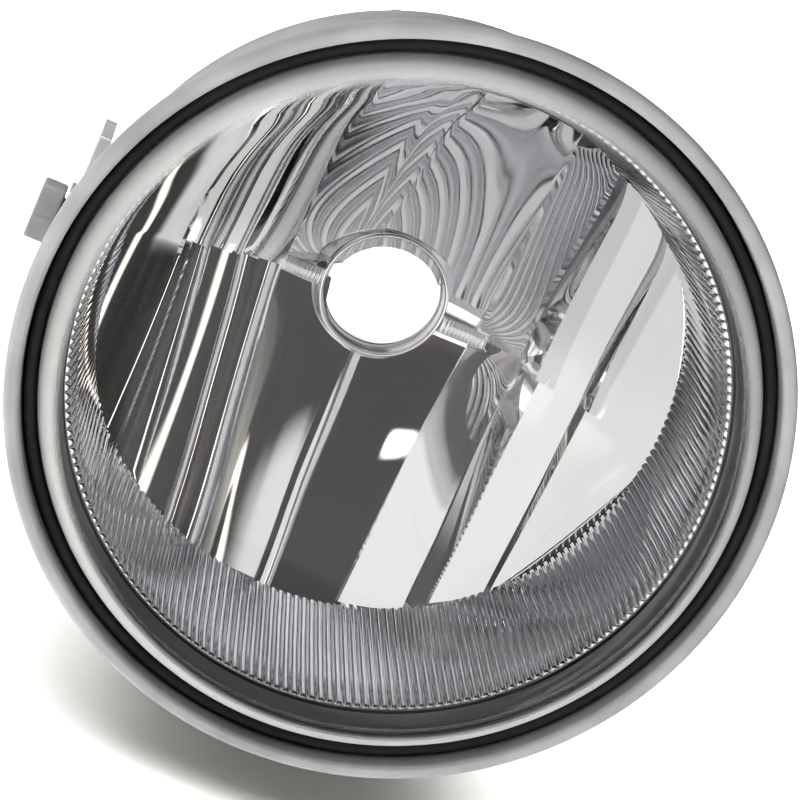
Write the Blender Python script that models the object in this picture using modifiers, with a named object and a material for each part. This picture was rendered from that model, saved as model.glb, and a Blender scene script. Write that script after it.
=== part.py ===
"""Round automotive fog light: a deep reflector lamp that tilts in a steel yoke, with its bulb and its
aiming screw. Metres, +Z up, the lamp shines along -Y, and the origin is the centre of the foot's underside."""

import math

import bmesh
import bpy
from mathutils import Matrix, Vector

MM = 0.001
GAP = 0.3  # clearance between pieces that touch, mm

# Driving dimensions, mm. A depth is measured backwards from the front of the housing's lip.
AXIS_HEIGHT = 59.0  # lamp axis above the foot's underside
FOOT_DEPTH = 51.0  # depth of the foot's centre, where the origin is
RIM_RADIUS = 50.0
LIP_INNER_RADIUS = 47.9
LEDGE_DEPTH = 9.0
WALL_RADIUS = 45.7  # outside of the housing's wall
WALL = 1.2
LENS_RADIUS = 45.9
LENS_THICKNESS = 2.0
BEZEL_OUTER_RADIUS = 44.1
BEZEL_FRONT_RADIUS = 43.3
BEZEL_BACK_RADIUS = 42.2
BEZEL_FRONT_DEPTH = 9.5
BEZEL_BACK_DEPTH = 39.0
FLUTES = 60
FLUTE_HEIGHT = 0.4
CUP_RADIUS = 9.8
CUP_DEPTH = 60.5
FLOOR_DEPTH = 65.0
LEG_DEPTH = 62.4
LEG_REACH = 16.5
LEG_HALF_WIDTH = 1.2
BULB_HOLE_RADIUS = 10.0
COLLAR_RADIUS = 14.6
COLLAR_BORE = 11.6
COLLAR_END = 103.0
PIVOT_DEPTH = 30.0
YOKE_MID_RADIUS = 47.2
YOKE_SHEET = 1.6
YOKE_WIDTH = 12.0
YOKE_TOP = 13.5
FOOT_SHEET = 1.8
FOOT_HALF_WIDTH = 15.0
FOOT_HOLE_RADIUS = 2.75
FOOT_HOLE_SPACING = 15.0
TAB_DEPTH = 66.0
BALL_DEPTH = 52.0
BALL_DROP = 49.5  # adjuster axis below the lamp axis
BALL_RADIUS = 3.3
SCREW_RADIUS = 1.8
YOKE_HOLE_RADIUS = 4.2
PIVOT_BORE_RADIUS = 4.7
PIVOT_SHANK_RADIUS = 2.4
PIVOT_CLEARANCE_RADIUS = 2.7  # bore of the bush, washer and nut around the bolt
RIVET_OFFSET = 6.5
RIVET_HOLE_RADIUS = 1.9
RIVET_SHANK_RADIUS = 1.5
VENT_HEIGHT = 20.0  # breather above the lamp axis
VENT_BORE_RADIUS = 1.4
BASE_SHAFT_RADIUS = 9.2

ALONG_DEPTH = (math.radians(90), 0, 0)  # turns an object's own +Z to the front, -Y
ALONG_X = (0, math.radians(90), 0)
UPRIGHT = (0, 0, 0)

MATERIALS = {
    "grey_plastic": ((0.42, 0.43, 0.44), 0.0, 0.45),
    "clear_lens": ((0.95, 0.97, 0.98), 0.0, 0.03),
    "black_sealant": ((0.02, 0.02, 0.03), 0.0, 0.5),
    "chromed_plastic": ((0.83, 0.84, 0.84), 1.0, 0.06),
    "chromed_steel": ((0.9, 0.9, 0.9), 1.0, 0.1),
    "galvanised_steel": ((0.7, 0.7, 0.69), 0.7, 0.45),
    "zinc_steel": ((0.62, 0.63, 0.65), 1.0, 0.3),
    "brass": ((0.78, 0.6, 0.3), 1.0, 0.3),
    "nylon": ((0.8, 0.8, 0.76), 0.0, 0.5),
    "black_nylon": ((0.03, 0.03, 0.03), 0.0, 0.45),
    "black_rubber": ((0.02, 0.02, 0.02), 0.0, 0.7),
    "filter_felt": ((0.75, 0.75, 0.72), 0.0, 0.9),
    "bulb_glass": ((0.95, 0.96, 0.97), 0.0, 0.02),
    "tungsten": ((0.45, 0.44, 0.43), 1.0, 0.4),
    "silicone": ((0.45, 0.12, 0.05), 0.0, 0.5),
}


def start_scene():
    for obj in list(bpy.data.objects):
        bpy.data.objects.remove(obj)
    collections = []
    for name in ("fog_light", "cutters"):
        collection = bpy.data.collections.new(name)
        bpy.context.scene.collection.children.link(collection)
        collections.append(collection)
    return collections


PARTS, CUTTERS = start_scene()


def make_material(name):
    colour, metallic, roughness = MATERIALS[name]
    material = bpy.data.materials.new(name)
    material.use_nodes = True
    shader = material.node_tree.nodes["Principled BSDF"]
    shader.inputs["Base Color"].default_value = (*colour, 1)
    shader.inputs["Metallic"].default_value = metallic
    shader.inputs["Roughness"].default_value = roughness
    if name in ("clear_lens", "bulb_glass"):
        shader.inputs["Transmission Weight"].default_value = 1.0
    return material


def at(x, depth, z):
    """World place in metres of a point given in mm from the lamp axis and the lip's front."""
    return Vector((x, depth - FOOT_DEPTH, z + AXIS_HEIGHT)) * MM


def add_object(name, mesh, material=None, location=(0, 0, 0), rotation=(0, 0, 0)):
    """A piece if it has a material, or else a hidden cutter."""
    obj = bpy.data.objects.new(name, mesh)
    obj.location = location
    obj.rotation_euler = rotation
    if material:
        PARTS.objects.link(obj)
        own = make_material(material)
        own.name = f"{name}_{material}"
        obj.data.materials.append(own)
    else:
        CUTTERS.objects.link(obj)
        obj.hide_render = True
        obj.display_type = "WIRE"
    return obj


def mesh_from(name, fill):
    """A new mesh from a function that fills a bmesh."""
    shape = bmesh.new()
    fill(shape)
    mesh = bpy.data.meshes.new(name)
    shape.to_mesh(mesh)
    shape.free()
    return mesh


def turned(name, profile, material=None, segments=48, location=None, rotation=ALONG_DEPTH):
    """A turned piece. The profile is (radius, depth) in mm, down its outer side from front to back."""
    on_axis = profile[0][0] == 0

    def fill(shape):
        points = [shape.verts.new((radius * MM, 0, -depth * MM)) for radius, depth in profile]
        for first, second in zip(points, points[1:]):
            shape.edges.new((first, second))
        if not on_axis:
            shape.edges.new((points[-1], points[0]))

    place = at(0, 0, 0) if location is None else location
    obj = add_object(name, mesh_from(name, fill), material, place, rotation)
    turn = obj.modifiers.new("turn", "SCREW")
    turn.axis = "Z"
    turn.steps = segments
    turn.render_steps = segments
    turn.use_merge_vertices = on_axis
    turn.merge_threshold = 0.00001
    turn.use_smooth_shade = True
    return obj


def rod(name, radius, start, end, material=None, sides=24, x=0.0, z=0.0):
    """A round or many-sided rod along the depth, from one depth to another."""
    length = end - start

    def fill(shape):
        bmesh.ops.create_cone(
            shape, cap_ends=True, segments=sides, radius1=radius * MM, radius2=radius * MM, depth=length * MM
        )

    place = at(x, (start + end) / 2, z)
    return add_object(name, mesh_from(name, fill), material, place, ALONG_DEPTH)


def cross_rod(name, radius, start, end, depth, aside=0.0, material=None, sides=24, rotation=ALONG_X):
    """A rod across the lamp from start to end along X, or along Z with no rotation, moved aside by a distance."""
    middle = (start + end) / 2
    place = at(middle, depth, aside) if rotation == ALONG_X else at(aside, depth, middle)

    def fill(shape):
        bmesh.ops.create_cone(
            shape,
            cap_ends=True,
            segments=sides,
            radius1=radius * MM,
            radius2=radius * MM,
            depth=abs(end - start) * MM,
        )

    return add_object(name, mesh_from(name, fill), material, place, rotation)


def box(name, x, depth, z, material=None, rotation=(0, 0, 0)):
    """A box from its (low, high) extents in mm."""
    size = Vector((x[1] - x[0], depth[1] - depth[0], z[1] - z[0])) * MM

    def fill(shape):
        bmesh.ops.create_cube(shape, size=1, matrix=Matrix.Diagonal((*size, 1)))

    place = at(sum(x) / 2, sum(depth) / 2, sum(z) / 2)
    return add_object(name, mesh_from(name, fill), material, place, rotation)


def boolean(obj, other, operation):
    step = obj.modifiers.new(f"{operation.lower()}_{other.name}", "BOOLEAN")
    step.operation = operation
    step.object = other
    step.solver = "EXACT"


def cut(obj, *others):
    for other in others:
        boolean(obj, other, "DIFFERENCE")


def join(obj, *others):
    for other in others:
        boolean(obj, other, "UNION")


def bent_sheet(name, path, width, thickness, material, across):
    """Sheet metal bent along a path of places, as wide as width along the direction across."""
    half = across * width * MM / 2

    def fill(shape):
        rows = [(shape.verts.new(point - half), shape.verts.new(point + half)) for point in path]
        for (a, b), (c, d) in zip(rows, rows[1:]):
            shape.faces.new((a, b, d, c))

    obj = add_object(name, mesh_from(name, fill), material)
    solid = obj.modifiers.new("sheet", "SOLIDIFY")
    solid.thickness = thickness * MM
    solid.offset = 0
    solid.use_even_offset = True
    return obj


def wire(name, points, radius, material, resolution=0):
    """A wire through the places given, as a closed mesh tube."""
    curve = bpy.data.curves.new(name, "CURVE")
    curve.dimensions = "3D"
    curve.bevel_depth = radius * MM
    curve.bevel_resolution = resolution
    curve.use_fill_caps = True
    spline = curve.splines.new("POLY")
    spline.points.add(len(points) - 1)
    for point, place in zip(spline.points, points):
        point.co = (*place, 1)
    return add_object(name, curve, material)


def rounded(obj, width=0.3, segments=1):
    edge = obj.modifiers.new("rounding", "BEVEL")
    edge.width = width * MM
    edge.segments = segments
    edge.limit_method = "ANGLE"
    edge.angle_limit = math.radians(50)
    return obj


def arc(radius, start, end, steps):
    """(x, z) points of an arc about the lamp axis, by angle in degrees."""
    angles = [math.radians(start + (end - start) * i / steps) for i in range(steps + 1)]
    return [(radius * math.cos(angle), radius * math.sin(angle)) for angle in angles]


def hold(parent_name, place, *objects):
    """An empty on a joint's axis, with the pieces that move about it."""
    empty = bpy.data.objects.new(parent_name, None)
    empty.location = place
    PARTS.objects.link(empty)
    for obj in objects:
        obj.parent = empty
        obj.matrix_parent_inverse = Matrix.Translation(place).inverted()
    return empty


# The bracket: what stays still.


def make_yoke():
    right = [(YOKE_MID_RADIUS, YOKE_TOP), (YOKE_MID_RADIUS, YOKE_TOP / 2)]
    left = [(-x, z) for x, z in reversed(right)]
    outline = right + arc(YOKE_MID_RADIUS, 0, -180, 28) + left
    path = [at(x, PIVOT_DEPTH, z) for x, z in outline]
    yoke = bent_sheet("yoke_strap", path, YOKE_WIDTH, YOKE_SHEET, "galvanised_steel", Vector((0, 1, 0)))
    cut(yoke, cross_rod("yoke_pivot_holes", YOKE_HOLE_RADIUS, -60, 60, PIVOT_DEPTH))
    for side, x in (("left", -RIVET_OFFSET), ("right", RIVET_OFFSET)):
        hole = cross_rod(
            f"yoke_rivet_hole_{side}", RIVET_HOLE_RADIUS, -56, -40, PIVOT_DEPTH, aside=x, rotation=UPRIGHT
        )
        cut(yoke, hole)
    return rounded(yoke)


def make_foot():
    top = -YOKE_MID_RADIUS - YOKE_SHEET / 2 - GAP - FOOT_SHEET / 2
    bottom = -AXIS_HEIGHT + FOOT_SHEET / 2
    path = [(25.0, top), (35.6, top), (37.2, bottom), (TAB_DEPTH, bottom), (TAB_DEPTH, -42.0)]
    foot = bent_sheet(
        "foot_bracket",
        [at(0, depth, z) for depth, z in path],
        2 * FOOT_HALF_WIDTH,
        FOOT_SHEET,
        "galvanised_steel",
        Vector((1, 0, 0)),
    )
    for end, sign in (("front", -1), ("rear", 1)):
        depth = FOOT_DEPTH + sign * FOOT_HOLE_SPACING / 2
        cut(foot, cross_rod(f"foot_hole_{end}", FOOT_HOLE_RADIUS, -64, -54, depth, rotation=UPRIGHT))
    for side, x in (("left", -RIVET_OFFSET), ("right", RIVET_OFFSET)):
        hole = cross_rod(
            f"foot_rivet_hole_{side}", RIVET_HOLE_RADIUS, -53, -46, PIVOT_DEPTH, aside=x, rotation=UPRIGHT
        )
        cut(foot, hole)
    cut(foot, rod("tab_hole", 4.2, TAB_DEPTH - 4, TAB_DEPTH + 4, z=-BALL_DROP))
    for side in (-1, 1):
        trim = (side * (FOOT_HALF_WIDTH + 5), side * 8.0)
        cut(foot, box(f"tab_trim_{side + 1}", sorted(trim), (TAB_DEPTH - 4, TAB_DEPTH + 4), (-55.5, -38)))
    return rounded(foot)


def make_foot_rivet(side, x):
    head = -YOKE_MID_RADIUS - YOKE_SHEET / 2 - GAP - FOOT_SHEET - GAP
    shank = RIVET_SHANK_RADIUS
    profile = [(0, -46.8), (shank, -46.8), (shank, head), (3.0, head), (2.6, head - 1.1), (0, head - 1.4)]
    upside = [(radius, -z) for radius, z in profile]
    return turned(f"foot_rivet_{side}", upside, "zinc_steel", 20, at(x, PIVOT_DEPTH, 0), (0, 0, 0))


def make_pivot_bush(side, sign):
    inner = YOKE_MID_RADIUS - YOKE_SHEET / 2
    bore = PIVOT_CLEARANCE_RADIUS
    profile = [(3.9, -inner - YOKE_SHEET), (3.9, -inner), (bore, -inner), (bore, -inner - YOKE_SHEET)]
    rotation = (0, math.radians(90 * sign), 0)
    return turned(f"pivot_bush_{side}", profile, "nylon", 24, at(0, PIVOT_DEPTH, 0), rotation)


def make_grommet():
    front = TAB_DEPTH - FOOT_SHEET / 2 - GAP
    profile = [(5.5, front - 1.4), (5.5, front), (3.9, front), (3.9, TAB_DEPTH + 1.3)]
    profile += [(2.1, TAB_DEPTH + 1.3), (2.1, front - 1.4)]
    return turned("adjuster_grommet", profile, "nylon", 24, at(0, 0, -BALL_DROP))


# The lamp: housing, lens, optics and what is fixed to them.


def make_housing():
    inner = WALL_RADIUS - WALL
    outside = [(48.3, 0.6), (49.5, 0.6), (RIM_RADIUS, 1.2), (RIM_RADIUS, 2.8), (49.2, 8.6), (48.4, 10.2)]
    outside += [(WALL_RADIUS, 11.4), (WALL_RADIUS, 42.0), (27.5, 82.0), (25.5, 85.0)]
    outside += [(COLLAR_RADIUS, 86.5), (COLLAR_RADIUS, COLLAR_END)]
    bore = [(COLLAR_BORE, COLLAR_END), (COLLAR_BORE, 98.2), (9.9, 98.2), (9.9, 95.6), (COLLAR_BORE, 95.6)]
    inside = [(COLLAR_BORE, 85.0), (24.5, 83.4), (26.2, 81.2), (inner, 41.4), (inner, LEDGE_DEPTH)]
    lip = [(LIP_INNER_RADIUS, LEDGE_DEPTH), (LIP_INNER_RADIUS, 1.0)]
    housing = turned("housing", outside + bore + inside + lip, "grey_plastic", 56)
    join(housing, box("socket_lug", (-5, 5), (48, 57), (-43.1, -37.6)))
    cut(housing, cross_rod("socket_stud_hole", 2.3, -45, -40.3, BALL_DEPTH, rotation=UPRIGHT))
    join(housing, rod("vent_nipple", 2.4, 84.0, 95.0, z=VENT_HEIGHT, sides=20))
    cut(housing, rod("vent_bore", VENT_BORE_RADIUS, 78.0, 99.0, z=VENT_HEIGHT, sides=12))
    cut(housing, cross_rod("pivot_bore", PIVOT_BORE_RADIUS, -60, 60, PIVOT_DEPTH))
    for index in range(3):
        angle = math.radians(45 + 120 * index)
        notch = box(f"bayonet_notch_{index}", (-2.6, 2.6), (95.2, 98.6), (8.0, 11.3))
        turn = Matrix.Rotation(angle, 4, "Y")
        centre = at(0, 0, 0)
        offset = Vector(notch.location) - centre
        notch.location = centre + turn @ offset
        notch.rotation_euler = turn.to_euler()
        cut(housing, notch)
    return housing


def make_lens():
    outer = [(0, -4.5), (12, -4.35), (24, -3.8), (34, -2.9), (40.5, -1.7), (43.6, -0.5)]
    outer += [(45.1, 1.2), (LENS_RADIUS, 3.4), (LENS_RADIUS, LEDGE_DEPTH - GAP)]
    leg = LENS_RADIUS - LENS_THICKNESS
    inner = [(leg, LEDGE_DEPTH - GAP), (leg, 4.4), (43.1, 2.7), (41.6, 1.4), (38, 0.2), (30, -0.9)]
    inner += [(18, -1.9), (0, -2.3)]
    return turned("lens", outer + inner, "clear_lens")


def make_lens_seal():
    outer = LIP_INNER_RADIUS - GAP
    inner = LENS_RADIUS + GAP
    back = LEDGE_DEPTH - GAP
    return turned("lens_seal", [(outer, 3.0), (outer, back), (inner, back), (inner, 3.0)], "black_sealant")


def make_bezel():
    """A tube with flutes down its inner side, closed by a plain outer side."""
    count = 2 * FLUTES

    def ring(shape, radius, depth, ripple):
        verts = []
        for i in range(count):
            angle = math.tau * i / count
            reach = (radius - ripple * (i % 2)) * MM
            verts.append(shape.verts.new((reach * math.cos(angle), reach * math.sin(angle), -depth * MM)))
        return verts

    def fill(shape):
        rings = [
            ring(shape, BEZEL_OUTER_RADIUS, BEZEL_FRONT_DEPTH, 0),
            ring(shape, BEZEL_OUTER_RADIUS, BEZEL_BACK_DEPTH, 0),
            ring(shape, BEZEL_BACK_RADIUS, BEZEL_BACK_DEPTH, FLUTE_HEIGHT),
            ring(shape, BEZEL_FRONT_RADIUS, BEZEL_FRONT_DEPTH, FLUTE_HEIGHT),
        ]
        for first, second in zip(rings, rings[1:] + rings[:1]):
            for i in range(count):
                j = (i + 1) % count
                shape.faces.new((first[i], second[i], second[j], first[j]))
        bmesh.ops.recalc_face_normals(shape, faces=shape.faces)

    return add_object("fluted_bezel", mesh_from("fluted_bezel", fill), "chromed_plastic", at(0, 0, 0), ALONG_DEPTH)


def make_reflector():
    start = BEZEL_BACK_DEPTH + GAP
    outside = [(BEZEL_OUTER_RADIUS, start), (BEZEL_OUTER_RADIUS, 40.9), (37.4, 46.6), (29.4, 53.3)]
    outside += [(21.5, 60.2), (16.8, 66.1), (13.5, 72.2), (11.8, 79.0)]
    inside = [(BULB_HOLE_RADIUS, 79.0), (11.8, 71.0), (15.0, 64.5), (20.0, 58.6), (28.0, 51.6), (36.0, 45.0)]
    inside += [(42.3, start)]
    reflector = turned("reflector", outside + inside, "chromed_plastic")
    for side, sign in (("left", -1), ("right", 1)):
        extent = sorted((sign * (LEG_REACH - 1.0), sign * (LEG_REACH + 1.0)))
        half = LEG_HALF_WIDTH + GAP
        cut(reflector, box(f"leg_slot_{side}", extent, (56, 74), (-half, half)))
    return reflector


def make_shield():
    """A dished cup in front of the bulb, on two legs that pass through the reflector."""
    profile = [(0, FLOOR_DEPTH), (9.1, FLOOR_DEPTH), (9.1, CUP_DEPTH + 0.3), (9.25, CUP_DEPTH)]
    profile += [(9.6, CUP_DEPTH), (CUP_RADIUS, CUP_DEPTH + 0.3), (CUP_RADIUS, 68.0), (9.0, 68.0)]
    profile += [(9.0, FLOOR_DEPTH + 1.0), (0, FLOOR_DEPTH + 1.0)]
    shield = turned("bulb_shield", profile, "chromed_steel", 40)
    half = LEG_HALF_WIDTH
    for side, sign in (("left", -1), ("right", 1)):
        across = sorted((sign * 9.4, sign * (LEG_REACH + 0.5)))
        down = sorted((sign * (LEG_REACH - 0.5), sign * (LEG_REACH + 0.5)))
        join(shield, box(f"leg_arm_{side}", across, (LEG_DEPTH - 0.7, LEG_DEPTH + 0.7), (-half, half)))
        join(shield, box(f"leg_tail_{side}", down, (LEG_DEPTH - 0.5, 72.6), (-half, half)))
    return shield


def make_shield_clip(side, sign):
    """A push-on clip behind the reflector that keeps a leg's tail."""
    extent = sorted((sign * (LEG_REACH - 1.4), sign * (LEG_REACH + 2.6)))
    hole = sorted((sign * (LEG_REACH - 0.8), sign * (LEG_REACH + 0.8)))
    clip = box(f"shield_clip_{side}", extent, (70.2, 71.2), (-3.0, 3.0), "zinc_steel")
    half = LEG_HALF_WIDTH + GAP
    cut(clip, box(f"clip_hole_{side}", hole, (69, 73), (-half, half)))
    return clip


def make_vent_cap():
    inside = [(0, 97.0), (2.7, 97.0), (2.7, 88.0)]
    outside = [(3.6, 88.0), (4.6, 88.6), (4.6, 97.4), (3.8, 98.2), (0, 98.2)]
    return turned("vent_cap", inside + outside, "black_rubber", 24, at(0, 0, VENT_HEIGHT))


def make_vent_filter():
    return rod("vent_filter", 2.3, 95.4, 96.6, "filter_felt", z=VENT_HEIGHT)


def make_pivot_nut(side, sign):
    bore = PIVOT_CLEARANCE_RADIUS
    profile = [(4.4, -46.1), (4.4, -44.5), (bore, -44.5), (bore, -46.1)]
    rotation = (0, math.radians(90 * sign), 0)
    return turned(f"pivot_nut_{side}", profile, "brass", 24, at(0, PIVOT_DEPTH, 0), rotation)


def make_pivot_washer(side, sign):
    bore = PIVOT_CLEARANCE_RADIUS
    profile = [(4.9, -48.9), (4.9, -48.3), (bore, -48.3), (bore, -48.9)]
    rotation = (0, math.radians(90 * sign), 0)
    return turned(f"pivot_washer_{side}", profile, "zinc_steel", 24, at(0, PIVOT_DEPTH, 0), rotation)


def make_pivot_bolt(side, sign):
    start, head, end = sorted_by_sign(sign, 44.7, 49.2, 52.4)
    bolt = cross_rod(f"pivot_bolt_{side}", 4.5, head, end, PIVOT_DEPTH, material="zinc_steel", sides=6)
    join(bolt, cross_rod(f"pivot_shank_{side}", PIVOT_SHANK_RADIUS, start, head + sign * 0.5, PIVOT_DEPTH))
    return rounded(bolt, 0.35, 2)


def sorted_by_sign(sign, *values):
    return [sign * value for value in values]


def make_socket():
    """Nylon block on the housing's lug: the ball sits in its upright bore and pushes the lamp's lower edge."""
    socket = box("adjuster_socket", (-5.5, 5.5), (48.0, 57.0), (-53.6, -43.4), "nylon")
    join(socket, cross_rod("socket_stud", 2.0, -44, -40.8, BALL_DEPTH, rotation=UPRIGHT))
    cut(socket, cross_rod("socket_bore", BALL_RADIUS + GAP, -56, -44.4, BALL_DEPTH, rotation=UPRIGHT))
    cut(socket, box("socket_slot", (-2.5, 2.5), (44, 60), (-56, -45.4)))
    return rounded(socket, 0.25)


# The aiming screw and its ball nut.


def make_adjuster_screw():
    front = TAB_DEPTH - FOOT_SHEET / 2 - GAP - 1.4 - GAP
    head = TAB_DEPTH + 1.3 + GAP
    profile = [(0, 44.0), (1.3, 44.0), (SCREW_RADIUS, 44.6), (SCREW_RADIUS, front - 1.4), (3.2, front - 1.4)]
    profile += [(3.2, front), (SCREW_RADIUS, front), (SCREW_RADIUS, head), (5.6, head), (5.6, head + 1.2)]
    profile += [(4.6, head + 1.2), (4.6, head + 1.5), (0, head + 1.5)]
    screw = turned("adjuster_screw", profile, "zinc_steel", 24, at(0, 0, -BALL_DROP))
    join(screw, rod("adjuster_hex", 4.6, head + 1.0, head + 5.5, sides=6, z=-BALL_DROP))
    return screw


def make_ball_nut():
    def fill(shape):
        bmesh.ops.create_uvsphere(shape, u_segments=24, v_segments=14, radius=BALL_RADIUS * MM)

    place = at(0, BALL_DEPTH, -BALL_DROP)
    ball = add_object("ball_nut", mesh_from("ball_nut", fill), "black_nylon", place)
    cut(ball, rod("ball_bore", SCREW_RADIUS + GAP, 46, 58, z=-BALL_DROP))
    return ball


# The bulb.


def make_bulb_base():
    reach = BASE_SHAFT_RADIUS
    shaft = [(0, 86.4), (reach - 0.4, 86.4), (reach, 86.8), (reach, 103.4), (15.5, 103.4), (15.5, 106.4)]
    shaft.append((0, 106.4))
    base = turned("bulb_base", shaft, "black_nylon", 40)
    join(base, box("base_tower", (-9.6, 9.6), (105.0, 119.0), (-29.0, 7.5)))
    cut(base, box("connector_cavity", (-8.0, 8.0), (107.8, 117.4), (-31.0, -12.0)))
    join(base, box("latch_ramp", (-2.0, 2.0), (118.5, 120.4), (-24.0, -21.5)))
    for index in range(3):
        turn = Matrix.Rotation(math.radians(120 * index), 4, "Y")
        lug = box(f"bayonet_lug_{index}", (-2.2, 2.2), (92.6, 95.3), (8.6, 11.0))
        centre = at(0, 0, 0)
        lug.location = centre + turn @ (Vector(lug.location) - centre)
        lug.rotation_euler = turn.to_euler()
        join(base, lug)
    return base


def make_o_ring():
    def fill(shape):
        count, sides = 40, 8
        rings = []
        for i in range(count):
            angle = math.tau * i / count
            ring = []
            for j in range(sides):
                turn = math.tau * j / sides
                reach = 10.4 + 0.85 * math.cos(turn)
                ring.append(
                    shape.verts.new(
                        (reach * MM * math.cos(angle), reach * MM * math.sin(angle), 0.85 * MM * math.sin(turn))
                    )
                )
            rings.append(ring)
        for i in range(count):
            for j in range(sides):
                k, m = (i + 1) % count, (j + 1) % sides
                shape.faces.new((rings[i][j], rings[k][j], rings[k][m], rings[i][m]))
        bmesh.ops.recalc_face_normals(shape, faces=shape.faces)

    return add_object("bulb_o_ring", mesh_from("bulb_o_ring", fill), "silicone", at(0, 100.6, 0), ALONG_DEPTH)


def make_bulb_collar():
    profile = [(6.4, 80.0), (8.4, 81.2), (8.4, 86.1), (5.9, 86.1), (5.9, 80.0)]
    return turned("bulb_collar", profile, "zinc_steel", 32)


def make_bulb_glass():
    outer = [(0, 69.0), (2.6, 69.3), (4.6, 70.6), (5.6, 73.0), (5.6, 85.8)]
    inner = [(4.8, 85.8), (4.8, 73.3), (3.9, 71.3), (2.2, 70.2), (0, 69.9)]
    return turned("bulb_glass", outer + inner, "bulb_glass", 28)


def make_filament():
    """A coil along the lamp axis where the facets focus."""
    turns, start, end, radius = 7, 73.4, 77.4, 0.7
    steps = turns * 8
    points = []
    for i in range(steps + 1):
        angle = math.tau * turns * i / steps
        depth = start + (end - start) * i / steps
        points.append(at(radius * math.cos(angle), depth, radius * math.sin(angle)))
    return wire("filament", points, 0.13, "tungsten")


def make_lead(side, sign, tip):
    """A stiff wire that holds one end of the filament."""
    path = [(sign * 1.6, 86.0), (sign * 1.9, 82.0), (sign * 1.9, tip + 0.6), (sign * 1.3, tip)]
    return wire(f"lead_wire_{side}", [at(x, depth, 0) for x, depth in path], 0.25, "tungsten", 1)


def make_terminal(side, sign):
    x = sorted((sign * 2.2, sign * 5.2))
    blade = box(f"terminal_{side}", x, (112.2, 113.0), (-22.0, -12.3), "brass")
    return rounded(blade, 0.2)


def main():
    make_yoke()
    make_foot()
    make_grommet()
    lamp = [
        make_housing(),
        make_lens(),
        make_lens_seal(),
        make_bezel(),
        make_reflector(),
        make_shield(),
        make_vent_cap(),
        make_vent_filter(),
        make_socket(),
    ]
    bulb = [
        make_bulb_base(),
        make_o_ring(),
        make_bulb_collar(),
        make_bulb_glass(),
        make_filament(),
        make_lead("left", -1, 73.4),
        make_lead("right", 1, 77.4),
    ]
    for side, sign in (("left", -1), ("right", 1)):
        make_foot_rivet(side, sign * RIVET_OFFSET)
        make_pivot_bush(side, sign)
        lamp.append(make_pivot_nut(side, sign))
        lamp.append(make_pivot_washer(side, sign))
        lamp.append(make_pivot_bolt(side, sign))
        lamp.append(make_shield_clip(side, sign))
        bulb.append(make_terminal(side, sign))
    hold("aim_axis", at(0, PIVOT_DEPTH, 0), *lamp)
    hold("bulb_axis", at(0, COLLAR_END, 0), *bulb)
    hold("screw_axis", at(0, TAB_DEPTH, -BALL_DROP), make_adjuster_screw())
    hold("nut_axis", at(0, BALL_DEPTH, -BALL_DROP), make_ball_nut())


main()
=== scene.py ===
"""Looks of the round fog light: fine lens, flutes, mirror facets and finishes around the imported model.
Millimetres in the lamp's own frame (x, depth behind the lip's front, z above the lamp axis), metres in Blender."""

import math

import bmesh
import bpy
from mathutils import Matrix, Quaternion, Vector


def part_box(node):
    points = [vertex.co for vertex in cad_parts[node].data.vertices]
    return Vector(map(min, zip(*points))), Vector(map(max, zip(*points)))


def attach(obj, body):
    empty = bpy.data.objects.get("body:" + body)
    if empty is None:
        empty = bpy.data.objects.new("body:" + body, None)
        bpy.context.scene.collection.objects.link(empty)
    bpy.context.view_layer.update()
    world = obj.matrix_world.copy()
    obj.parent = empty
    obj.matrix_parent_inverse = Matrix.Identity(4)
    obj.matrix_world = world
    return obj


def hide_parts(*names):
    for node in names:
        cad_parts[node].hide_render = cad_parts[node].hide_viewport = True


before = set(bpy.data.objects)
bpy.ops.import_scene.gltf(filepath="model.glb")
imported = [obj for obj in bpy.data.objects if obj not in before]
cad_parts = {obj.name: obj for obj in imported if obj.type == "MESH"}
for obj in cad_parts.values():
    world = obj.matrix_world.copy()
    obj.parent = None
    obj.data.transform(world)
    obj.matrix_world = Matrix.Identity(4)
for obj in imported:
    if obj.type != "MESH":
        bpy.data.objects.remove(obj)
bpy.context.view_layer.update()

MM = 0.001
LIP_CREST = 0.6  # the lip's flat crest lies this far behind depth 0

housing_low, housing_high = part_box("housing")
lens_low, lens_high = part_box("lens")
RIM = (housing_high.x - housing_low.x) / 2 / MM
ORIGIN = Vector(
    ((lens_low.x + lens_high.x) / 2, housing_low.y - LIP_CREST * MM, (lens_low.z + lens_high.z) / 2)
)
AXIS_HEIGHT = ORIGIN.z / MM

# Radii and depths that several pieces share, mm, as in the design.
LIP_INNER = 47.9
LEDGE = 9.0
GAP = 0.3
LENS_RADIUS = (lens_high.x - lens_low.x) / 2 / MM
LENS_LEG = LENS_RADIUS - 2.0
BEZEL_OUTER = 44.1
BEZEL_FRONT = 43.3
BEZEL_BACK = 42.2
BEZEL_START = 9.5
BEZEL_END = 39.0
FLUTES = 218
FLUTE_HEIGHT = 0.5
CUP = 9.8
CUP_FRONT = 57.4
CUP_FLOOR = 60.4
CUP_CENTRE = (-0.5, 1.1)  # x and z: the cup sits a little above the lamp axis
LEG_DEPTH = 58.6
LEG_REACH = 16.5
PIVOT_DEPTH = 30.0
BALL_DROP = 49.5
FINE = 192  # segments of a large turned piece
FROST_START = 42.6  # radius where the lens turns from clear to frosted


def at(x, depth, z):
    """World place in metres of a point in the lamp's frame."""
    return ORIGIN + Vector((x, depth, z)) * MM


# Materials


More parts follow.
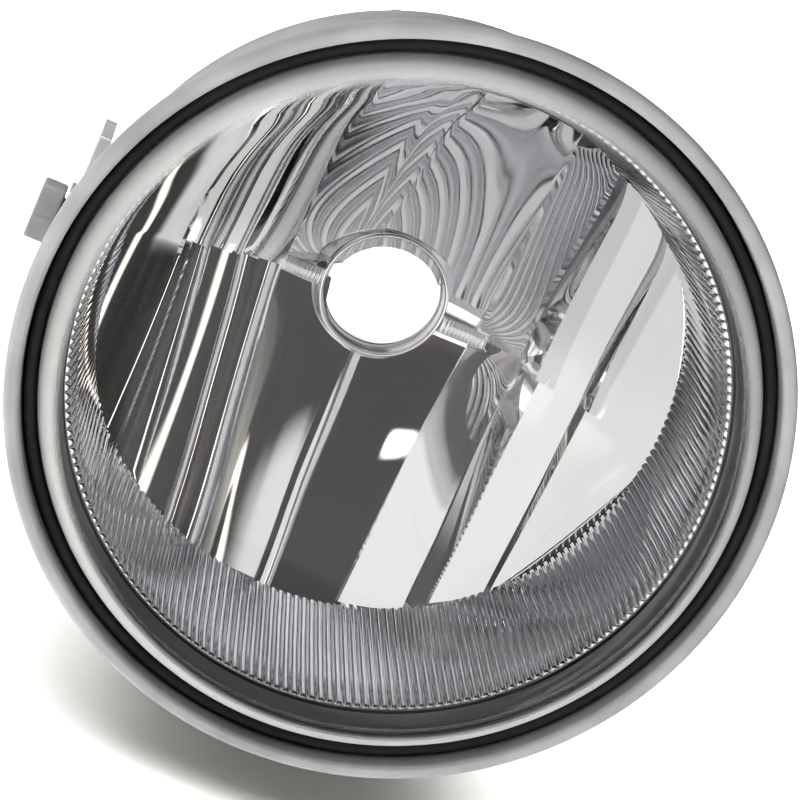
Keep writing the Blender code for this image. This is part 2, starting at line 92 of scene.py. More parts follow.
class Recipe:
    """A Principled material being put together from noise and a few sums."""

    def __init__(self, name, colour, metallic=0.0, roughness=0.5):
        self.material = bpy.data.materials.new(name)
        self.material.use_nodes = True
        self.nodes = self.material.node_tree.nodes
        self.links = self.material.node_tree.links
        self.shader = self.nodes["Principled BSDF"]
        self.shader.inputs["Base Color"].default_value = (*colour, 1)
        self.shader.inputs["Metallic"].default_value = metallic
        self.shader.inputs["Roughness"].default_value = roughness
        self.place = self.nodes.new("ShaderNodeTexCoord").outputs["Object"]
        self.normal = None

    def put(self, socket, value):
        self.shader.inputs[socket].default_value = value
        return self

    def noise(self, size, detail=3.0, stretch=(1, 1, 1)):
        """Noise with features of a size in mm."""
        scale = self.nodes.new("ShaderNodeMapping")
        scale.inputs["Scale"].default_value = stretch
        self.links.new(self.place, scale.inputs["Vector"])
        texture = self.nodes.new("ShaderNodeTexNoise")
        texture.inputs["Scale"].default_value = 1 / (size * MM)
        texture.inputs["Detail"].default_value = detail
        self.links.new(scale.outputs["Vector"], texture.inputs["Vector"])
        return texture.outputs["Fac"]

    def range(self, source, low, high, start=0.3, end=0.7):
        """The source's middle stretched from low to high."""
        node = self.nodes.new("ShaderNodeMapRange")
        node.inputs["From Min"].default_value = start
        node.inputs["From Max"].default_value = end
        node.inputs["To Min"].default_value = low
        node.inputs["To Max"].default_value = high
        self.links.new(source, node.inputs["Value"])
        return node.outputs["Result"]

    def tint(self, source, dark, light):
        """Base colour that runs from dark to light with the source."""
        ramp = self.nodes.new("ShaderNodeValToRGB")
        ramp.color_ramp.elements[0].position = 0.3
        ramp.color_ramp.elements[0].color = (*dark, 1)
        ramp.color_ramp.elements[1].position = 0.7
        ramp.color_ramp.elements[1].color = (*light, 1)
        self.links.new(source, ramp.inputs["Fac"])
        self.links.new(ramp.outputs["Color"], self.shader.inputs["Base Color"])
        return self

    def rough(self, source, low, high):
        self.links.new(self.range(source, low, high), self.shader.inputs["Roughness"])
        return self

    def bump(self, source, height, strength=1.0):
        """Relief of a height in mm, on top of what is there."""
        node = self.nodes.new("ShaderNodeBump")
        node.inputs["Strength"].default_value = strength
        node.inputs["Distance"].default_value = height * MM
        self.links.new(source, node.inputs["Height"])
        if self.normal:
            self.links.new(self.normal, node.inputs["Normal"])
        self.normal = node.outputs["Normal"]
        self.links.new(self.normal, self.shader.inputs["Normal"])
        return self


def plain(name, colour, metallic, roughness, spread=0.12, grain=0.6, relief=0.01, blotch=9.0):
    """A finish with fine grain, a slow change of tone and a roughness that varies."""
    recipe = Recipe(name, colour, metallic, roughness)
    slow = recipe.noise(blotch, 2.0)
    fine = recipe.noise(grain, 4.0)
    dark = [c * (1 - spread) for c in colour]
    light = [min(1.0, c * (1 + spread)) for c in colour]
    recipe.tint(slow, dark, light)
    recipe.rough(fine, roughness * 0.85, min(1.0, roughness * 1.2))
    recipe.bump(fine, relief)
    return recipe


def glass(name, ior, roughness, wave, colour=(1.0, 1.0, 1.0)):
    recipe = Recipe(name, colour, 0.0, roughness)
    recipe.put("Transmission Weight", 1.0)
    recipe.put("IOR", ior)
    recipe.bump(recipe.noise(14.0, 1.0), wave)
    return recipe


def lens_glass():
    """Clear over the optics, and finely frosted from the rounded corner outwards, where it is bonded."""
    recipe = glass("clear_lens", 1.45, 0.0, 0.004)
    recipe.put("Specular IOR Level", 0.12)
    split = recipe.nodes.new("ShaderNodeSeparateXYZ")
    recipe.links.new(recipe.place, split.inputs["Vector"])
    flat = recipe.nodes.new("ShaderNodeCombineXYZ")
    recipe.links.new(split.outputs["X"], flat.inputs["X"])
    recipe.links.new(split.outputs["Z"], flat.inputs["Z"])
    away = recipe.nodes.new("ShaderNodeVectorMath")
    away.operation = "DISTANCE"
    away.inputs[1].default_value = (ORIGIN.x, 0, ORIGIN.z)
    recipe.links.new(flat.outputs["Vector"], away.inputs[0])
    frost = recipe.range(away.outputs["Value"], 0.0, 0.42, FROST_START * MM, (FROST_START + 1.3) * MM)
    recipe.links.new(frost, recipe.shader.inputs["Roughness"])
    milk = recipe.range(away.outputs["Value"], 1.0, 0.6, FROST_START * MM, (FROST_START + 1.3) * MM)
    recipe.links.new(milk, recipe.shader.inputs["Transmission Weight"])
    return recipe


def make_materials():
    made = {
        "grey_plastic": plain("grey_plastic", (0.36, 0.365, 0.375), 0.0, 0.42, grain=0.5, relief=0.012),
        "clear_lens": lens_glass(),
        "black_sealant": plain("black_sealant", (0.035, 0.036, 0.045), 0.0, 0.5, grain=1.4, relief=0.06),
        "chromed_steel": plain("chromed_steel", (0.93, 0.93, 0.93), 1.0, 0.12, 0.01, 0.4, 0.0006),
        "galvanised_steel": plain("galvanised_steel", (0.72, 0.72, 0.71), 0.6, 0.42, 0.07, 2.2, 0.004, 3.0),
        "zinc_steel": plain("zinc_steel", (0.62, 0.63, 0.66), 1.0, 0.3, 0.1, 0.5, 0.004, 4.0),
        "dull_zinc": plain("dull_zinc", (0.42, 0.42, 0.43), 0.5, 0.6, 0.1, 0.6, 0.006, 4.0),
        "brass": plain("brass", (0.78, 0.6, 0.3), 1.0, 0.28, 0.08, 0.4, 0.003, 4.0),
        "nylon": plain("nylon", (0.8, 0.79, 0.74), 0.0, 0.5, 0.04, 0.4, 0.006, 6.0),
        "black_nylon": plain("black_nylon", (0.028, 0.028, 0.03), 0.0, 0.42, 0.15, 0.35, 0.01),
        "black_rubber": plain("black_rubber", (0.022, 0.022, 0.023), 0.0, 0.68, 0.2, 0.3, 0.012),
        "filter_felt": plain("filter_felt", (0.75, 0.75, 0.7), 0.0, 0.95, 0.1, 0.25, 0.08, 1.0),
        "bulb_glass": glass("bulb_glass", 1.47, 0.0, 0.002),
        "tungsten": plain("tungsten", (0.42, 0.41, 0.4), 1.0, 0.35, 0.1, 0.2, 0.002, 1.0),
        "silicone": plain("silicone", (0.5, 0.11, 0.04), 0.0, 0.5, 0.1, 0.5, 0.006, 5.0),
    }
    chrome = Recipe("chromed_plastic", (0.88, 0.88, 0.885), 1.0, 0.015)
    chrome.rough(chrome.noise(5.0, 4.0), 0.006, 0.03)
    chrome.bump(chrome.noise(16.0, 1.0), 0.004)
    made["chromed_plastic"] = chrome
    flute = Recipe("fluted_chrome", (0.84, 0.84, 0.86), 1.0, 0.05)
    flute.rough(flute.noise(3.0, 4.0), 0.02, 0.07)
    flute.bump(flute.noise(1.6, 3.0), 0.003)
    made["fluted_chrome"] = flute
    return {name: recipe.material for name, recipe in made.items()}


FINISH = make_materials()


# Mesh tools


def add_mesh(name, shape, finish, sharp=30.0):
    """A piece from a filled bmesh, shaded smooth up to an angle in degrees."""
    bmesh.ops.remove_doubles(shape, verts=shape.verts, dist=1e-7)
    bmesh.ops.recalc_face_normals(shape, faces=shape.faces)
    mesh = bpy.data.meshes.new(name)
    shape.to_mesh(mesh)
    shape.free()
    mesh.shade_smooth()
    mesh.set_sharp_from_angle(angle=math.radians(sharp))
    mesh.materials.append(FINISH[finish])
    obj = bpy.data.objects.new(name, mesh)
    bpy.context.scene.collection.objects.link(obj)
    return obj


def eased(points, radius, steps=4, closed=True):
    """The outline with its corners rounded; a corner may carry its own radius as a third value."""
    out = []
    count = len(points)
    for i, point in enumerate(points):
        here = Vector(point[:2])
        own = point[2] if len(point) > 2 else radius
        if own <= 0 or (not closed and i in (0, count - 1)):
            out.append(tuple(here))
            continue
        before = Vector(points[i - 1][:2])
        after = Vector(points[(i + 1) % count][:2])
        reach = min(own, 0.45 * (before - here).length, 0.45 * (after - here).length)
        start = here + (before - here).normalized() * reach
        end = here + (after - here).normalized() * reach
        for k in range(steps + 1):
            t = k / steps
            out.append(tuple(start * (1 - t) ** 2 + here * 2 * t * (1 - t) + end * t * t))
    return out


def flowing(points, steps=5):
    """A smooth curve through the points of an open outline."""
    ends = [points[0]] + list(points) + [points[-1]]
    out = []
    for p0, p1, p2, p3 in zip(ends, ends[1:], ends[2:], ends[3:]):
        for k in range(steps):
            t = k / steps
            pair = []
            for a, b, c, d in zip(p0, p1, p2, p3):
                cubic = (2 * b) + (c - a) * t + (2 * a - 5 * b + 4 * c - d) * t * t
                pair.append(0.5 * (cubic + (3 * b - a - 3 * c + d) * t ** 3))
            out.append(tuple(pair))
    out.append(tuple(points[-1]))
    return out


def turn_into(shape, outline, segments, centre, along="depth", closed=True):
    """Turns an outline of (radius, distance) about an axis through the centre."""
    rings = []
    for radius, distance in outline:
        ring = []
        for i in range(1 if radius < 1e-6 else segments):
            angle = math.tau * i / segments
            a, b = radius * math.cos(angle), radius * math.sin(angle)
            step = {"depth": (a, distance, b), "x": (distance, a, b), "z": (a, b, distance)}[along]
            ring.append(shape.verts.new(centre + Vector(step) * MM))
        rings.append(ring)
    pairs = list(zip(rings, rings[1:])) + ([(rings[-1], rings[0])] if closed else [])
    for first, second in pairs:
        if len(first) == 1 and len(second) == 1:
            continue
        for i in range(segments):
            j = (i + 1) % segments
            corners = [first[i % len(first)], first[j % len(first)], second[j % len(second)], second[i % len(second)]]
            unique = []
            for corner in corners:
                if corner not in unique:
                    unique.append(corner)
            shape.faces.new(unique)


def turned(name, outline, finish, segments=FINE, centre=None, along="depth", sharp=30.0):
    shape = bmesh.new()
    on_axis = outline[0][0] < 1e-6 and outline[-1][0] < 1e-6
    turn_into(shape, outline, segments, at(0, 0, 0) if centre is None else centre, along, not on_axis)
    return add_mesh(name, shape, finish, sharp)


def prism(name, outline, low, high, across, finish, bevel=0.0, segments=2, sharp=35.0):
    """An outline pushed along one axis. across is x, depth or z, and the outline gives the other two in order."""
    shape = bmesh.new()

    def corner(pair, distance):
        a, b = pair
        return {"x": at(distance, a, b), "depth": at(a, distance, b), "z": at(a, b, distance)}[across]

    bottom = [shape.verts.new(corner(pair, low)) for pair in outline]
    top = [shape.verts.new(corner(pair, high)) for pair in outline]
    shape.faces.new(bottom)
    shape.faces.new(top[::-1])
    count = len(outline)
    for i in range(count):
        j = (i + 1) % count
        shape.faces.new((bottom[i], top[i], top[j], bottom[j]))
    obj = add_mesh(name, shape, finish, sharp)
    if bevel:
        edge = obj.modifiers.new("rounding", "BEVEL")
        edge.width = bevel * MM
        edge.segments = segments
        edge.limit_method = "ANGLE"
        edge.angle_limit = math.radians(40)
        edge.harden_normals = False
    return obj


def block(name, x, depth, z, finish, bevel=0.3, segments=3):
    outline = [(x[0], z[0]), (x[1], z[0]), (x[1], z[1]), (x[0], z[1])]
    return prism(name, outline, depth[0], depth[1], "depth", finish, bevel, segments)


def combine(obj, others, operation):
    """Boolean with each helper, which is then removed, and the result baked into the mesh."""
    for other in others:
        step = obj.modifiers.new(operation, "BOOLEAN")
        step.operation = operation
        step.object = other
        step.solver = "EXACT"
    settle(obj)
    for other in others:
        bpy.data.objects.remove(other)
    return obj


def settle(obj, sharp=30.0):
    """Bakes the modifiers into the mesh and shades it again."""
    bpy.context.view_layer.update()
    graph = bpy.context.evaluated_depsgraph_get()
    mesh = bpy.data.meshes.new_from_object(obj.evaluated_get(graph))
    finish = obj.data.materials[0]
    obj.modifiers.clear()
    obj.data = mesh
    mesh.materials.clear()
    mesh.materials.append(finish)
    mesh.shade_smooth()
    mesh.set_sharp_from_angle(angle=math.radians(sharp))
    return obj


def offset_sheet(path, thickness, bend=2.0):
    """Closed outline of a sheet bent along an open path, its bends rounded."""
    line = eased(path, bend, 8, closed=False)
    half = thickness / 2
    sides = ([], [])
    for i, here in enumerate(line):
        before = Vector(line[max(i - 1, 0)])
        after = Vector(line[min(i + 1, len(line) - 1)])
        way = (after - before).normalized()
        normal = Vector((-way.y, way.x))
        for side, sign in zip(sides, (1, -1)):
            side.append(tuple(Vector(here) + normal * half * sign))
    return sides[0] + sides[1][::-1]


def put(obj, body, slot, *nodes):
    """The piece rides on a body and stands for the CAD nodes named; slot is not used."""
    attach(obj, body)
    if nodes:
        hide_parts(*nodes)
    return obj


# Lamp


def arc_points(radius, start, end, steps):
    """(x, z) points of an arc about the lamp axis, in degrees."""
    angles = [math.radians(start + (end - start) * i / steps) for i in range(steps + 1)]
    return [(radius * math.cos(angle), radius * math.sin(angle)) for angle in angles]


def make_housing():
    outside = [(48.3, 0.6, 0.35), (49.5, 0.6, 0.6), (RIM, 1.4, 0.5), (RIM, 2.6, 0.3), (49.5, 2.95, 0.1)]
    outside += [(49.5, 3.2, 0.1), (49.85, 3.5, 0.2), (49.2, 8.6, 0.6), (48.4, 10.2, 0.6)]
    outside += [(45.7, 11.4, 0.8), (45.7, 42.0, 3.0), (27.5, 82.0, 2.5), (25.5, 85.0, 2.0), (14.6, 86.5, 1.2)]
    outside += [(14.6, 103.0, 0.5)]
    bore = [(11.6, 103.0, 0.4), (11.6, 98.2, 0.1), (9.9, 98.2, 0.3), (9.9, 95.6, 0.3), (11.6, 95.6, 0.1)]
    inside = [(11.6, 85.0, 0.8), (24.5, 83.4, 1.0), (26.2, 81.2, 1.0), (44.5, 41.4, 2.0), (44.5, LEDGE, 0.2)]
    lip = [(LIP_INNER, LEDGE, 0.3), (LIP_INNER, 1.0, 0.3)]
    housing = turned("housing_shell", eased(outside + bore + inside + lip, 0.3), "grey_plastic")
    lug = block("lug", (-5, 5), (48, 57), (-43.1, -37.6), "grey_plastic", 0.5)
    nipple = turned(
        "nipple", eased([(0, 84.0), (2.4, 84.0), (2.4, 95.0, 0.3), (0, 95.0)], 0), "grey_plastic", 48, at(0, 0, 20)
    )
    ribs = []
    for index in range(8):
        ribs.append(back_rib(22.5 + 45 * index))
    combine(housing, [lug, nipple] + ribs, "UNION")
    stud_hole = turned("stud", [(0, -45), (2.3, -45), (2.3, -40.3), (0, -40.3)], "grey_plastic", 32, at(0, 52, 0), "z")
    vent = turned("vent", [(0, 78), (1.4, 78), (1.4, 99), (0, 99)], "grey_plastic", 32, at(0, 0, 20))
    pivot = turned("pivot", [(0, -60), (4.7, -60), (4.7, 60), (0, 60)], "grey_plastic", 48, at(0, PIVOT_DEPTH, 0), "x")
    notches = []
    for index in range(3):
        notch = block("notch", (-2.6, 2.6), (95.2, 98.6), (8.0, 11.3), "grey_plastic", 0)
        turn_about_axis(notch, -(45 + 120 * index))
        notches.append(notch)
    combine(housing, [stud_hole, vent, pivot] + notches, "DIFFERENCE")
    return put(housing, "lamp", "grey_plastic", "housing")


def turn_about_axis(obj, degrees):
    """Turns a helper's mesh about the lamp axis."""
    centre = at(0, 0, 0)
    turn = Matrix.Rotation(math.radians(degrees), 4, "Y")
    obj.data.transform(Matrix.Translation(centre) @ turn @ Matrix.Translation(-centre))
    return obj


def back_rib(degrees):
    """A thin stiffening rib that runs down the housing's back cone to the bulb collar."""
    outline = [(14.0, 87.4), (15.2, 93.0), (25.2, 86.0), (28.4, 82.6), (44.9, 46.4), (44.4, 44.0), (26.0, 80.0)]
    shape = bmesh.new()
    sides = []
    for x in (-0.6, 0.6):
        sides.append([shape.verts.new(at(x, depth, radius)) for radius, depth in outline])
    shape.faces.new(sides[0])
    shape.faces.new(sides[1][::-1])
    for i in range(len(outline)):
        j = (i + 1) % len(outline)
        shape.faces.new((sides[0][i], sides[1][i], sides[1][j], sides[0][j]))
    return turn_about_axis(add_mesh("rib", shape, "grey_plastic"), degrees)


def make_lens():
    outer = flowing([(0, -4.5), (12, -4.35), (24, -3.8), (34, -2.9), (40.5, -1.7), (43.6, -0.5), (45.1, 1.2)]
                    + [(LENS_RADIUS, 3.4)])
    foot = LEDGE - GAP
    inner = flowing([(LENS_LEG, 4.4), (43.1, 2.7), (41.6, 1.4), (38, 0.2), (30, -0.9), (18, -1.9), (0, -2.3)])
    skirt = eased([(LENS_RADIUS, 3.6), (LENS_RADIUS, foot, 0.2), (LENS_LEG, foot, 0.2), (LENS_LEG, 4.6)], 0, closed=False)
    lens = turned("front_lens", outer + skirt + inner, "clear_lens", 256)
    return put(lens, "lamp", "clear_lens", "lens")


def make_seal():
    outer, inner, back = LIP_INNER - GAP, LENS_RADIUS + GAP, LEDGE - GAP
    outline = [(inner, back), (inner, 3.3), (inner + 0.4, 3.0), (outer - 0.4, 3.0), (outer, 3.3), (outer, back)]
    seal = turned("lens_sealant", eased(outline, 0.3), "black_sealant")
    return put(seal, "lamp", "black_sealant", "lens_seal")


def make_bezel():
    """The tube's inner side is 218 round flutes; its front is a rolled edge."""
    steps = 8
    count = FLUTES * steps
    shape = bmesh.new()

    def ring(radius, depth, height):
        verts = []
        for i in range(count):
            angle = math.tau * i / count
            across = 2 * (i % steps) / steps - 1
            reach = radius - height * math.sqrt(max(0.0, 1 - across * across))
            verts.append(shape.verts.new(at(reach * math.cos(angle), depth, reach * math.sin(angle))))
        return verts

    rows = [ring(BEZEL_OUTER, BEZEL_END, 0), ring(BEZEL_OUTER, BEZEL_START + 0.4, 0)]
    rows.append(ring(BEZEL_OUTER - 0.3, BEZEL_START, 0))
    rows.append(ring(BEZEL_FRONT + 0.1, BEZEL_START, 0))
    for k in range(5):
        t = k / 4
        radius = BEZEL_FRONT + (BEZEL_BACK - BEZEL_FRONT) * t
        depth = BEZEL_START + 0.25 + (BEZEL_END - BEZEL_START - 0.25) * t
        rows.append(ring(radius, depth, FLUTE_HEIGHT))
    for first, second in zip(rows, rows[1:] + rows[:1]):
        for i in range(count):
            j = (i + 1) % count
            shape.faces.new((first[i], first[j], second[j], second[i]))
    bezel = add_mesh("flute_ring", shape, "fluted_chrome", 40.0)
    return put(bezel, "lamp", "chromed_plastic", "fluted_bezel")


# Each band's right edge is at one x on the seam and at another where it meets the flutes. Then come the band's
# depth on the seam at its left and right edges, and its bow across.
APERTURE = 42.2
HOLE = 8.5
FALL_POWER = 1.25  # how a band's depth falls with height above or below the seam
BAND_END = BEZEL_END + 0.5  # depth where a band meets the flutes
NECK_END = 79.0
LOWER_RIGHT = [
    (24.8, 21.8, 56.0, 49.8, 0.0),
    (31.2, 29.0, 49.8, 46.6, 0.1),
    (32.2, 29.8, 46.7, 45.0, 0.0),
    (APERTURE, APERTURE, 45.0, 39.7, 0.0),
]
UPPER_RIGHT = [
    (24.0, 22.0, 56.2, 49.1, 0.0),
    (31.2, 29.4, 49.1, 46.7, 0.2),
    (32.4, 30.6, 46.7, 43.9, 0.0),
    (APERTURE, APERTURE, 43.9, 39.7, 0.3),
]
UPPER = [
    (-31.6, -30.5, 39.7, 43.4, 0.5),
    (-30.2, -29.0, 45.2, 45.5, 0.2),
    (-27.6, -26.0, 45.9, 47.0, -0.3),
    (-24.4, -22.6, 48.2, 49.4, 0.4),
    (-22.8, -20.6, 50.5, 51.2, -0.2),
    (-16.7, -16.4, 52.3, 55.3, 0.5),
    (-5.0, -1.9, 58.6, 61.6, 0.4),
    (15.2, 13.0, 62.1, 61.3, 0.4),
    (22.2, 20.4, 60.0, 56.6, 0.2),
] + UPPER_RIGHT
LOWER = [
    (-31.6, -31.2, 39.7, 43.4, 0.5),
    (-29.8, -28.6, 45.2, 45.6, 0.3),
    (-27.4, -24.0, 46.3, 47.4, -0.35),
    (-23.4, -18.8, 48.8, 50.4, 0.1),
    (-20.4, -16.0, 51.6, 52.6, 0.4),
    (-16.7, -12.3, 54.5, 56.1, -0.4),
    (-2.6, -3.0, 58.4, 61.0, 0.4),
    (0.6, -0.6, 61.6, 62.1, -0.2),
    (15.2, 9.2, 62.1, 61.6, 0.25),
    (22.2, 18.9, 60.6, 56.4, 0.2),
] + LOWER_RIGHT


def band_columns(shape, band, left, sign, rows, stops):
    """Columns of vertices from the seam, or the bulb's hole, to the flutes; left is the edge shared with the last band."""
    seam_x, rim_x, start, end, bow = band
    reach = []
    for depth, rim in ((start, left[1]), (end, rim_x)):
        span = math.sqrt(max(0.0, APERTURE**2 - rim**2))
        if span > 1.0:
            reach.append((depth - BAND_END) / span**FALL_POWER)
    fall = min(reach)
    columns = []
    for seam in [stop for stop in stops if left[0] - 1e-6 <= stop <= seam_x + 1e-6]:
        t = (seam - left[0]) / (seam_x - left[0])
        rim = left[1] + (rim_x - left[1]) * t
        inner = math.sqrt(max(0.0, HOLE * HOLE - seam * seam))
        outer = math.sqrt(max(0.0, (APERTURE + 0.1) ** 2 - rim * rim))
        middle = start + (end - start) * t + 4 * bow * t * (1 - t)
        column = [shape.verts.new(at(rim, BEZEL_END + GAP, sign * outer))]
        for k in range(rows + 1):
            x = seam + (rim - seam) * k / rows
            z = sign * (inner + (outer - inner) * k / rows)
            depth = max(middle - fall * abs(z) ** FALL_POWER, BEZEL_END + GAP)
            column.append(shape.verts.new(at(x, depth, z)))
        if inner > 0:
            column.append(shape.verts.new(at(seam, NECK_END, sign * inner)))
        columns.append(column)
    return columns


def make_reflector():
    """Upright bands of mirror on both sides of a seam, joined by narrow walls."""
    shape = bmesh.new()
    edges = sorted({-APERTURE, -HOLE, HOLE} | {band[0] for band in UPPER + LOWER})
    stops = []
    for left, right in zip(edges, edges[1:]):
        count = max(2, round((right - left) / 0.7))
        stops += [left + (right - left) * i / count for i in range(count)]
    stops.append(APERTURE)
    rows = 56
    seams = []
    for sign, bands in ((1, UPPER), (-1, LOWER)):
        left = (-APERTURE, -APERTURE)
        last = None
        seam = {}
        for band in bands:
            columns = band_columns(shape, band, left, sign, rows, stops)
            for column in columns:
                if len(column) == rows + 2:
                    seam.setdefault(round(column[1].co.x / MM, 4), []).append(column[1])
            for first, second in zip([last] * bool(last) + columns, columns[not last:]):
                join_columns(shape, first, second, rows)
            last = columns[-1]
            left = band[:2]
        seams.append(seam)
    close_seam(shape, *seams)
    reflector = add_mesh("mirror_bowl", shape, "chromed_plastic", 25.0)
    return put(reflector, "lamp", "chromed_plastic", "reflector")


def join_columns(shape, first, second, rows):
    """Quads between two columns: the mirror's rows, then the rim's and the neck's walls."""
    pairs = [(k, k + 1) for k in range(1, rows + 1)]
    pairs.append((0, rows + 1))
    if len(first) == len(second) == rows + 3:
        pairs.append((1, rows + 2))
    for a, b in pairs:
        corners = []
        for vert in (first[a], first[b], second[b], second[a]):
            if all((vert.co - other.co).length > 1e-7 for other in corners):
                corners.append(vert)
        if len(corners) > 2:
            shape.faces.new(corners)


def close_seam(shape, upper, lower):
    """The narrow wall between the upper and lower bands, left and right of the bulb's hole."""
    shared = sorted(set(upper) & set(lower))
    for x0, x1 in zip(shared, shared[1:]):
        if not x0 < 0 < x1:
            shape.faces.new((upper[x0][-1], upper[x1][0], lower[x1][0], lower[x0][-1]))


def make_shield():
    """The dished cup, its two ribbed legs and their tails behind the mirror."""
    outline = [(0, CUP_FLOOR), (8.9, CUP_FLOOR, 0.35), (9.15, CUP_FRONT + 0.3, 0.15), (9.35, CUP_FRONT, 0.15)]
    outline += [(9.6, CUP_FRONT, 0.2), (CUP, CUP_FRONT + 0.35, 0.2), (CUP, 61.8, 0.1), (9.2, 61.8, 0.1)]
    outline += [(9.0, CUP_FLOOR + 1.0, 0.3), (0, CUP_FLOOR + 1.0)]
    centre = at(CUP_CENTRE[0], 0, CUP_CENTRE[1])
    shield = turned("dished_shield", eased(outline, 0.2, closed=False), "chromed_steel", 128, centre)
    put(shield, "lamp", "chromed_steel", "bulb_shield")
    for side, sign in (("left", -1), ("right", 1)):
        put(make_leg(f"shield_leg_{side}", sign), "lamp", "chromed_steel")
    return shield


def make_leg(name, sign):
    """A strap with fine cross ribs, bent back through the mirror at its end."""
    steps = 56
    start, end = CUP - 0.3, LEG_REACH
    top = []
    for i in range(steps + 1):
        x = start + (end - start) * i / steps
        ripple = 0.09 * math.cos(math.tau * (x - start) / 0.62)
        top.append((x, LEG_DEPTH - 0.62 + ripple))
    outline = top + [(end + 0.5, LEG_DEPTH + 0.2), (end + 0.5, 72.6), (end - 0.5, 72.6), (end - 0.5, LEG_DEPTH + 0.7)]
    outline.append((start, LEG_DEPTH + 0.7))
    return prism(name, [(sign * x, depth) for x, depth in outline], -1.2, 1.2, "z", "chromed_steel", 0.12, 2)


# Stage, light and camera


def make_floor():
    bpy.ops.mesh.primitive_plane_add(size=40.0, location=(0, 0, -0.0002))
    floor = bpy.context.object
    floor.name = "floor"
    recipe = Recipe("pale_floor", (0.9, 0.89, 0.87), 0.0, 0.6)
    recipe.tint(recipe.noise(120.0, 2.0), (0.9, 0.89, 0.865), (0.92, 0.91, 0.885))
    recipe.rough(recipe.noise(3.0, 3.0), 0.55, 0.65)
    floor.data.materials.append(recipe.material)
    floor.visible_glossy = False
    floor.visible_transmission = False
    return floor


def card(name, place, target, width, height, radiance, colour=(1.0, 1.0, 1.0)):
    """A soft box that faces the target; its power follows from its size and brightness."""
    light = bpy.data.lights.new(name, "AREA")
    light.shape = "RECTANGLE"
    light.size = width
    light.size_y = height
    light.energy = radiance * math.pi * width * height
    light.color = colour
    obj = bpy.data.objects.new(name, light)
    obj.location = place
    obj.rotation_euler = (Vector(target) - Vector(place)).to_track_quat("-Z", "Y").to_euler()
    bpy.context.scene.collection.objects.link(obj)
    return obj


class Sky:
    """Studio surroundings by direction: turn is in degrees to the right of straight ahead, height above level."""

    def __init__(self, strength):
        world = bpy.data.worlds.new("studio")
        world.use_nodes = True
        self.nodes = world.node_tree.nodes
        self.links = world.node_tree.links
        self.shader = self.nodes["Background"]
        self.shader.inputs["Strength"].default_value = strength
        bpy.context.scene.world = world
        way = self.nodes.new("ShaderNodeSeparateXYZ")
        self.links.new(self.nodes.new("ShaderNodeTexCoord").outputs["Generated"], way.inputs["Vector"])
        ahead = self.math("MULTIPLY", way.outputs["Y"], -1.0)
        self.turn = self.math("MULTIPLY", self.math("ARCTAN2", way.outputs["X"], ahead), math.degrees(1))
        self.height = self.math("MULTIPLY", self.math("ARCSINE", way.outputs["Z"]), math.degrees(1))

    def math(self, operation, *values):
        node = self.nodes.new("ShaderNodeMath")
        node.operation = operation
        for socket, value in zip(node.inputs, values):
            if isinstance(value, (int, float)):
                socket.default_value = value
            else:
                self.links.new(value, socket)
        return node.outputs["Value"]

    def slope(self, value, start, end):
        """0 before start, 1 after end; the other way round when end is the smaller."""
        node = self.nodes.new("ShaderNodeMapRange")
        node.interpolation_type = "SMOOTHSTEP"
        low, high = sorted((start, end))
        node.inputs["From Min"].default_value = low
        node.inputs["From Max"].default_value = high
        node.inputs["To Min"].default_value = float(start > end)
        node.inputs["To Max"].default_value = float(end > start)
        self.links.new(value, node.inputs["Value"])
        return node.outputs["Result"]

    def panel(self, turns, heights, brightness, soft=3.0, colour=(1.0, 1.0, 1.0)):
        """A soft-edged bright panel between two turns and two heights."""
        sides = [self.slope(self.turn, turns[0] - soft, turns[0] + soft)]
        sides.append(self.slope(self.turn, turns[1] + soft, turns[1] - soft))
        sides.append(self.slope(self.height, heights[0] - soft, heights[0] + soft))
        sides.append(self.slope(self.height, heights[1] + soft, heights[1] - soft))
        whole = sides[0]
        for side in sides[1:]:
            whole = self.math("MULTIPLY", whole, side)
        scaled = self.nodes.new("ShaderNodeVectorMath")
        scaled.operation = "SCALE"
        scaled.inputs[0].default_value = [brightness * part for part in colour]
        self.links.new(whole, scaled.inputs["Scale"])
        return scaled.outputs["Vector"]

    def finish(self, base, panels):
        """The brightest panel shows, over a dim base colour."""
        total = None
        for panel in panels:
            brighter = self.nodes.new("ShaderNodeVectorMath")
            brighter.operation = "MAXIMUM"
            brighter.inputs[0].default_value = base
            if total:
                self.links.new(total, brighter.inputs[0])
            self.links.new(panel, brighter.inputs[1])
            total = brighter.outputs["Vector"]
        self.links.new(total, self.shader.inputs["Color"])


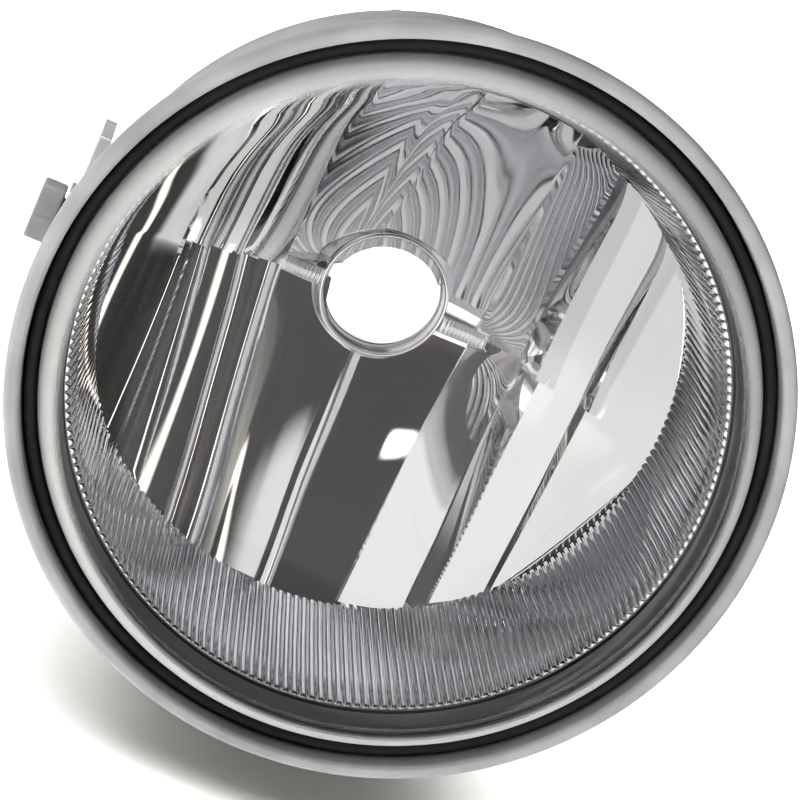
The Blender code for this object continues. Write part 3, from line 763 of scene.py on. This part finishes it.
def make_light(floor):
    sky = Sky(1.0)
    cream = (1.0, 0.93, 0.82)
    cool = (0.93, 0.95, 1.0)
    paper = (0.985, 1.0, 0.975)
    sky.finish(
        (0.014, 0.012, 0.011),
        [
            sky.panel((-190, -20), (-55, 72), 0.66, 2.0, paper),
            sky.panel((100, 190), (-95, 60), 0.12, 6.0),
            sky.panel((-190, 190), (66, 95), 0.9, 3.0, cool),
            sky.panel((-60, 60), (-95, -50), 0.05, 3.0),
            sky.panel((-40, 36), (-46, -6), 0.55, 3.0, paper),
            sky.panel((-40, 40), (52, 66), 0.5, 2.0, paper),
            sky.panel((4, 20), (22, 29), 0.07, 3.0, (1.0, 0.6, 0.45)),
            sky.panel((-12, 22), (-30, -6), 1.2, 2.0),
            sky.panel((22, 64), (34.5, 50), 0.6, 1.5, paper),
            sky.panel((-0.6, 3.6), (41.0, 41.6), 16.0, 1.2),
            sky.panel((45, 48), (-40, 50), 1.5, 1.2, cream),
            sky.panel((59, 63), (-50, 60), 0.8, 1.5, cool),
            sky.panel((77, 79), (-50, 60), 1.2, 1.0, cream),
        ],
    )
    for index in range(3):
        card(f"sparkle_{index}", (0.3 * index - 0.3, -0.25, 1.2), ORIGIN, 0.06, 0.06, 60.0)
    sun = bpy.data.lights.new("daylight", "SUN")
    sun.energy = 5.0
    sun.angle = math.radians(70)
    daylight = bpy.data.objects.new("daylight", sun)
    daylight.rotation_euler = (math.radians(12), math.radians(-8), 0)
    bpy.context.scene.collection.objects.link(daylight)
    lit = bpy.data.collections.new("daylight_receivers")
    lit.objects.link(floor)
    daylight.light_linking.receiver_collection = lit
    daylight.visible_glossy = False
    daylight.visible_transmission = False


def make_camera():
    azimuth = math.radians(-10.3)
    elevation = math.radians(15.02)
    roll = math.radians(25.15)
    distance = 286.5 * MM
    aim = at(-1.8, 0, 2.6)
    back = Vector(
        (math.sin(azimuth) * math.cos(elevation), -math.cos(azimuth) * math.cos(elevation), math.sin(elevation))
    )
    camera = bpy.data.cameras.new("camera")
    camera.sensor_width = 36.0
    camera.lens = 103.5
    camera.clip_start = 0.01
    obj = bpy.data.objects.new("camera", camera)
    obj.location = aim + back * distance
    facing = (-back).to_track_quat("-Z", "Y")
    obj.rotation_euler = (facing @ Quaternion((0, 0, 1), roll)).to_euler()
    bpy.context.scene.collection.objects.link(obj)
    bpy.context.scene.camera = obj


KEPT = {
    "bulb_collar": "zinc_steel",
    "filament": "tungsten",
    "lead_wire_left": "tungsten",
    "lead_wire_right": "tungsten",
    "bulb_glass": "bulb_glass",
    "bulb_base": "black_nylon",
    "bulb_o_ring": "silicone",
    "terminal_left": "brass",
    "terminal_right": "brass",
    "shield_clip_left": "zinc_steel",
    "shield_clip_right": "zinc_steel",
    "vent_cap": "black_rubber",
    "vent_filter": "filter_felt",
    "adjuster_socket": "nylon",
    "adjuster_screw": "zinc_steel",
    "adjuster_grommet": "nylon",
    "ball_nut": "black_nylon",
    "pivot_nut_left": "brass",
    "pivot_nut_right": "brass",
    "pivot_washer_left": "zinc_steel",
    "pivot_washer_right": "zinc_steel",
    "pivot_bolt_left": "dull_zinc",
    "pivot_bolt_right": "dull_zinc",
    "pivot_bush_left": "nylon",
    "pivot_bush_right": "nylon",
    "yoke_strap": "galvanised_steel",
    "foot_bracket": "galvanised_steel",
    "foot_rivet_left": "zinc_steel",
    "foot_rivet_right": "zinc_steel",
}


def main():
    make_camera()
    make_light(make_floor())
    make_housing()
    make_lens()
    make_seal()
    make_bezel()
    make_reflector()
    make_shield()
    for node, finish in KEPT.items():
        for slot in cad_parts[node].material_slots:
            slot.material = FINISH[finish]
    scene = bpy.context.scene
    scene.view_settings.view_transform = "Standard"
    scene.view_settings.look = "High Contrast"
    scene.cycles.max_bounces = 16
    scene.cycles.glossy_bounces = 12
    scene.cycles.transmission_bounces = 12
    scene.cycles.use_denoising = True


main()
